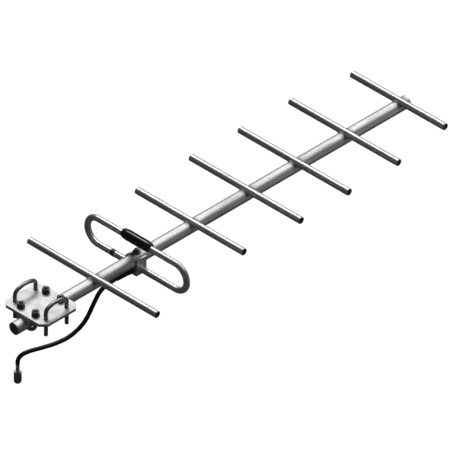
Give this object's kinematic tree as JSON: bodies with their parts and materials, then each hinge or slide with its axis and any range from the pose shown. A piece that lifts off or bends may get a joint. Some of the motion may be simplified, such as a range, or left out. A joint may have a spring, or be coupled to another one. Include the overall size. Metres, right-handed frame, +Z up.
{
  "type": "yagi antenna",
  "caption": "Directional UHF yagi on a round boom: welded rod elements, folded dipole with moulded feed cover, U-bolt mast clamp and a short coaxial tail with a screw-on plug.",
  "frame": {"origin": "centre of the clamp plate's top face, where the mast seats", "axes": "+X along the elements, +Y along the boom towards the front director, +Z up out of the plate towards the mast"},
  "size_m": [0.33, 1.016, 0.2196],
  "materials": {
    "boom_aluminium": "drawn and clear anodised, satin",
    "element_aluminium": "drawn and clear anodised, satin",
    "loop_aluminium": "drawn, bent and clear anodised, satin",
    "weld_aluminium": "as-welded, fine ripples",
    "plate_aluminium": "sawn and tumbled, satin",
    "block_aluminium": "machined, satin",
    "zinc_steel": "bright zinc plated",
    "stainless_steel": "plain stainless",
    "housing_plastic": "glossy moulded plastic",
    "plug_plastic": "matte moulded plastic",
    "sleeve_plastic": "shrink sleeve",
    "boot_rubber": "moulded, dull",
    "cable_jacket": "extruded jacket, slight sheen",
    "nickel_plate": "nickel plated brass",
    "dark_nickel": "black nickel, knurled",
    "dielectric_white": "white insulator",
    "insulator_plastic": "natural insulator",
    "gold_plate": "gold plated contact",
    "gasket_rubber": "moulded gasket",
    "feed_coax_jacket": "thin inner line"
  },
  "bodies": {
    "clamp": {"mount_plate": "plate_aluminium", "boom_saddle": "plate_aluminium", "boom_ubolts": "zinc_steel", "boom_ubolt_washers": "zinc_steel", "boom_ubolt_lock_washers": "zinc_steel", "boom_ubolt_nuts": "zinc_steel"},
    "antenna": {"boom_tube": "boom_aluminium", "boom_rear_plug": "plug_plastic", "boom_front_plug": "plug_plastic", "reflector": "element_aluminium", "director_1": "element_aluminium", "director_2": "element_aluminium", "director_3": "element_aluminium", "director_4": "element_aluminium", "director_5": "element_aluminium", "element_end_plugs": "plug_plastic", "weld_reflector": "weld_aluminium", "weld_director_1": "weld_aluminium", "weld_director_2": "weld_aluminium", "weld_director_3": "weld_aluminium", "weld_director_4": "weld_aluminium", "weld_director_5": "weld_aluminium", "dipole_loop": "loop_aluminium", "dipole_feed_coax": "feed_coax_jacket", "feed_insulator": "insulator_plastic", "feed_screws": "stainless_steel", "feed_housing": "housing_plastic", "dipole_marker_sleeve": "sleeve_plastic", "dipole_block": "block_aluminium", "dipole_bolt": "stainless_steel", "dipole_bolt_washers": "stainless_steel", "dipole_bolt_nut": "stainless_steel", "cable_boot": "boot_rubber", "cable_tail_root": "cable_jacket", "coax_cable": "cable_jacket", "crimp_ferrule": "nickel_plate", "plug_body": "nickel_plate", "plug_insulator": "dielectric_white", "plug_pin": "gold_plate", "plug_gasket": "gasket_rubber", "plug_snap_ring": "nickel_plate"},
    "mast_clamp_left": {"mast_ubolt_left": "zinc_steel"},
    "mast_clamp_right": {"mast_ubolt_right": "zinc_steel"},
    "coupling": {"coupling_nut": "dark_nickel"}
  },
  "joints": [
    {"name": "boom_roll", "type": "hinge", "parent": "clamp", "child": "antenna", "pos_m": [0, 0, -0.02105], "axis": [0, 1, 0], "range_deg": [-90, 90]},
    {"name": "mast_clamp_left_slide", "type": "slide", "parent": "clamp", "child": "mast_clamp_left", "axis": [0, 0, 1], "range_m": [0, 0.0127]},
    {"name": "mast_clamp_right_slide", "type": "slide", "parent": "clamp", "child": "mast_clamp_right", "axis": [0, 0, 1], "range_m": [0, 0.0127]},
    {"name": "coupling_spin", "type": "hinge", "parent": "antenna", "child": "coupling", "pos_m": [-0.045, -0.016, -0.178], "axis": [0, 0, 1], "continuous": true}
  ]
}
